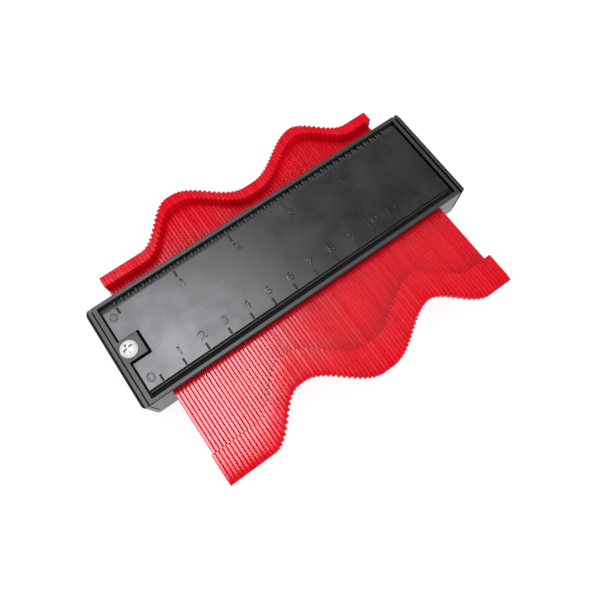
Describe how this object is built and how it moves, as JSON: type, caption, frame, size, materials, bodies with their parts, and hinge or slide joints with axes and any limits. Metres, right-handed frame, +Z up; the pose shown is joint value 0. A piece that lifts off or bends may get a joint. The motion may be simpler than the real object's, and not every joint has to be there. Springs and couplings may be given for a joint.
{
  "type": "contour gauge",
  "caption": "Plastic contour gauge: a flat two-part body with a scale plate, clamping a row of thin sliding teeth that copy and hold a profile.",
  "frame": {"origin": "middle of the flat underside that the body rests on", "axes": "+X along the row of teeth, away from the end with the upper screw; +Y from the noses of the teeth to their rear lips, the way they slide when pushed in; +Z up, out of the scale face"},
  "size_m": [0.1524, 0.1074, 0.021],
  "materials": {
    "frame_plastic": "satin",
    "plate_plastic": "satin",
    "tooth_plastic": "gloss",
    "screw_steel": "plated"
  },
  "bodies": {
    "body": {"lower_frame": "frame_plastic", "upper_frame": "frame_plastic", "scale_plate": "plate_plastic"},
    "top_screw": {"top_tension_screw": "screw_steel"},
    "bottom_screw": {"bottom_tension_screw": "screw_steel"},
    "tooth_pair_01": {"tooth_pair_01": "tooth_plastic"},
    "tooth_pair_02": {"tooth_pair_02": "tooth_plastic"},
    "tooth_pair_03": {"tooth_pair_03": "tooth_plastic"},
    "tooth_pair_04": {"tooth_pair_04": "tooth_plastic"},
    "tooth_pair_05": {"tooth_pair_05": "tooth_plastic"},
    "tooth_pair_06": {"tooth_pair_06": "tooth_plastic"},
    "tooth_pair_07": {"tooth_pair_07": "tooth_plastic"},
    "tooth_pair_08": {"tooth_pair_08": "tooth_plastic"},
    "tooth_pair_09": {"tooth_pair_09": "tooth_plastic"},
    "tooth_pair_10": {"tooth_pair_10": "tooth_plastic"},
    "tooth_pair_11": {"tooth_pair_11": "tooth_plastic"},
    "tooth_pair_12": {"tooth_pair_12": "tooth_plastic"},
    "tooth_pair_13": {"tooth_pair_13": "tooth_plastic"},
    "tooth_pair_14": {"tooth_pair_14": "tooth_plastic"},
    "tooth_pair_15": {"tooth_pair_15": "tooth_plastic"},
    "tooth_pair_16": {"tooth_pair_16": "tooth_plastic"},
    "tooth_pair_17": {"tooth_pair_17": "tooth_plastic"},
    "tooth_pair_18": {"tooth_pair_18": "tooth_plastic"},
    "tooth_pair_19": {"tooth_pair_19": "tooth_plastic"},
    "tooth_pair_20": {"tooth_pair_20": "tooth_plastic"},
    "tooth_pair_21": {"tooth_pair_21": "tooth_plastic"},
    "tooth_pair_22": {"tooth_pair_22": "tooth_plastic"},
    "tooth_pair_23": {"tooth_pair_23": "tooth_plastic"},
    "tooth_pair_24": {"tooth_pair_24": "tooth_plastic"},
    "tooth_pair_25": {"tooth_pair_25": "tooth_plastic"},
    "tooth_pair_26": {"tooth_pair_26": "tooth_plastic"},
    "tooth_pair_27": {"tooth_pair_27": "tooth_plastic"},
    "tooth_pair_28": {"tooth_pair_28": "tooth_plastic"},
    "tooth_pair_29": {"tooth_pair_29": "tooth_plastic"},
    "tooth_pair_30": {"tooth_pair_30": "tooth_plastic"},
    "tooth_pair_31": {"tooth_pair_31": "tooth_plastic"},
    "tooth_pair_32": {"tooth_pair_32": "tooth_plastic"},
    "tooth_pair_33": {"tooth_pair_33": "tooth_plastic"},
    "tooth_pair_34": {"tooth_pair_34": "tooth_plastic"},
    "tooth_pair_35": {"tooth_pair_35": "tooth_plastic"},
    "tooth_pair_36": {"tooth_pair_36": "tooth_plastic"},
    "tooth_pair_37": {"tooth_pair_37": "tooth_plastic"},
    "tooth_pair_38": {"tooth_pair_38": "tooth_plastic"},
    "tooth_pair_39": {"tooth_pair_39": "tooth_plastic"},
    "tooth_pair_40": {"tooth_pair_40": "tooth_plastic"},
    "tooth_pair_41": {"tooth_pair_41": "tooth_plastic"},
    "tooth_pair_42": {"tooth_pair_42": "tooth_plastic"},
    "tooth_pair_43": {"tooth_pair_43": "tooth_plastic"}
  },
  "joints": [
    {"name": "top_screw_turn", "type": "hinge", "parent": "body", "child": "top_screw", "pos_m": [-0.06885, 0, 0.01], "axis": [0, 0, 1], "range_deg": [-180, 180]},
    {"name": "bottom_screw_turn", "type": "hinge", "parent": "body", "child": "bottom_screw", "pos_m": [0.06885, 0, 0.01], "axis": [0, 0, 1], "range_deg": [-180, 180]},
    {"name": "slide_01", "type": "slide", "parent": "body", "child": "tooth_pair_01", "axis": [0, 1, 0], "range_m": [-0.0043, 0.0269]},
    {"name": "slide_02", "type": "slide", "parent": "body", "child": "tooth_pair_02", "axis": [0, 1, 0], "range_m": [-0.0043, 0.0269]},
    {"name": "slide_03", "type": "slide", "parent": "body", "child": "tooth_pair_03", "axis": [0, 1, 0], "range_m": [-0.0043, 0.0269]},
    {"name": "slide_04", "type": "slide", "parent": "body", "child": "tooth_pair_04", "axis": [0, 1, 0], "range_m": [-0.0043, 0.0269]},
    {"name": "slide_05", "type": "slide", "parent": "body", "child": "tooth_pair_05", "axis": [0, 1, 0], "range_m": [-0.0043, 0.0269]},
    {"name": "slide_06", "type": "slide", "parent": "body", "child": "tooth_pair_06", "axis": [0, 1, 0], "range_m": [-0.0043, 0.0269]},
    {"name": "slide_07", "type": "slide", "parent": "body", "child": "tooth_pair_07", "axis": [0, 1, 0], "range_m": [-0.0043, 0.02665]},
    {"name": "slide_08", "type": "slide", "parent": "body", "child": "tooth_pair_08", "axis": [0, 1, 0], "range_m": [-0.00514, 0.02514]},
    {"name": "slide_09", "type": "slide", "parent": "body", "child": "tooth_pair_09", "axis": [0, 1, 0], "range_m": [-0.00724, 0.02254]},
    {"name": "slide_10", "type": "slide", "parent": "body", "child": "tooth_pair_10", "axis": [0, 1, 0], "range_m": [-0.0102, 0.01937]},
    {"name": "slide_11", "type": "slide", "parent": "body", "child": "tooth_pair_11", "axis": [0, 1, 0], "range_m": [-0.01342, 0.01626]},
    {"name": "slide_12", "type": "slide", "parent": "body", "child": "tooth_pair_12", "axis": [0, 1, 0], "range_m": [-0.01627, 0.01381]},
    {"name": "slide_13", "type": "slide", "parent": "body", "child": "tooth_pair_13", "axis": [0, 1, 0], "range_m": [-0.01819, 0.01252]},
    {"name": "slide_14", "type": "slide", "parent": "body", "child": "tooth_pair_14", "axis": [0, 1, 0], "range_m": [-0.01879, 0.0124]},
    {"name": "slide_15", "type": "slide", "parent": "body", "child": "tooth_pair_15", "axis": [0, 1, 0], "range_m": [-0.0184, 0.01248]},
    {"name": "slide_16", "type": "slide", "parent": "body", "child": "tooth_pair_16", "axis": [0, 1, 0], "range_m": [-0.01711, 0.01333]},
    {"name": "slide_17", "type": "slide", "parent": "body", "child": "tooth_pair_17", "axis": [0, 1, 0], "range_m": [-0.01511, 0.015]},
    {"name": "slide_18", "type": "slide", "parent": "body", "child": "tooth_pair_18", "axis": [0, 1, 0], "range_m": [-0.01264, 0.01728]},
    {"name": "slide_19", "type": "slide", "parent": "body", "child": "tooth_pair_19", "axis": [0, 1, 0], "range_m": [-0.01002, 0.01986]},
    {"name": "slide_20", "type": "slide", "parent": "body", "child": "tooth_pair_20", "axis": [0, 1, 0], "range_m": [-0.00761, 0.02242]},
    {"name": "slide_21", "type": "slide", "parent": "body", "child": "tooth_pair_21", "axis": [0, 1, 0], "range_m": [-0.00571, 0.02461]},
    {"name": "slide_22", "type": "slide", "parent": "body", "child": "tooth_pair_22", "axis": [0, 1, 0], "range_m": [-0.00456, 0.02616]},
    {"name": "slide_23", "type": "slide", "parent": "body", "child": "tooth_pair_23", "axis": [0, 1, 0], "range_m": [-0.0043, 0.02687]},
    {"name": "slide_24", "type": "slide", "parent": "body", "child": "tooth_pair_24", "axis": [0, 1, 0], "range_m": [-0.0043, 0.0269]},
    {"name": "slide_25", "type": "slide", "parent": "body", "child": "tooth_pair_25", "axis": [0, 1, 0], "range_m": [-0.00435, 0.02661]},
    {"name": "slide_26", "type": "slide", "parent": "body", "child": "tooth_pair_26", "axis": [0, 1, 0], "range_m": [-0.00498, 0.02567]},
    {"name": "slide_27", "type": "slide", "parent": "body", "child": "tooth_pair_27", "axis": [0, 1, 0], "range_m": [-0.0062, 0.02418]},
    {"name": "slide_28", "type": "slide", "parent": "body", "child": "tooth_pair_28", "axis": [0, 1, 0], "range_m": [-0.0079, 0.02232]},
    {"name": "slide_29", "type": "slide", "parent": "body", "child": "tooth_pair_29", "axis": [0, 1, 0], "range_m": [-0.00988, 0.02028]},
    {"name": "slide_30", "type": "slide", "parent": "body", "child": "tooth_pair_30", "axis": [0, 1, 0], "range_m": [-0.01192, 0.0183]},
    {"name": "slide_31", "type": "slide", "parent": "body", "child": "tooth_pair_31", "axis": [0, 1, 0], "range_m": [-0.01378, 0.0166]},
    {"name": "slide_32", "type": "slide", "parent": "body", "child": "tooth_pair_32", "axis": [0, 1, 0], "range_m": [-0.01527, 0.01538]},
    {"name": "slide_33", "type": "slide", "parent": "body", "child": "tooth_pair_33", "axis": [0, 1, 0], "range_m": [-0.01621, 0.01476]},
    {"name": "slide_34", "type": "slide", "parent": "body", "child": "tooth_pair_34", "axis": [0, 1, 0], "range_m": [-0.01575, 0.01491]},
    {"name": "slide_35", "type": "slide", "parent": "body", "child": "tooth_pair_35", "axis": [0, 1, 0], "range_m": [-0.0139, 0.01624]},
    {"name": "slide_36", "type": "slide", "parent": "body", "child": "tooth_pair_36", "axis": [0, 1, 0], "range_m": [-0.01133, 0.01851]},
    {"name": "slide_37", "type": "slide", "parent": "body", "child": "tooth_pair_37", "axis": [0, 1, 0], "range_m": [-0.00855, 0.02126]},
    {"name": "slide_38", "type": "slide", "parent": "body", "child": "tooth_pair_38", "axis": [0, 1, 0], "range_m": [-0.00617, 0.02391]},
    {"name": "slide_39", "type": "slide", "parent": "body", "child": "tooth_pair_39", "axis": [0, 1, 0], "range_m": [-0.00465, 0.02592]},
    {"name": "slide_40", "type": "slide", "parent": "body", "child": "tooth_pair_40", "axis": [0, 1, 0], "range_m": [-0.0043, 0.02685]},
    {"name": "slide_41", "type": "slide", "parent": "body", "child": "tooth_pair_41", "axis": [0, 1, 0], "range_m": [-0.0043, 0.0269]},
    {"name": "slide_42", "type": "slide", "parent": "body", "child": "tooth_pair_42", "axis": [0, 1, 0], "range_m": [-0.0043, 0.0269]},
    {"name": "slide_43", "type": "slide", "parent": "body", "child": "tooth_pair_43", "axis": [0, 1, 0], "range_m": [-0.0043, 0.0269]}
  ]
}
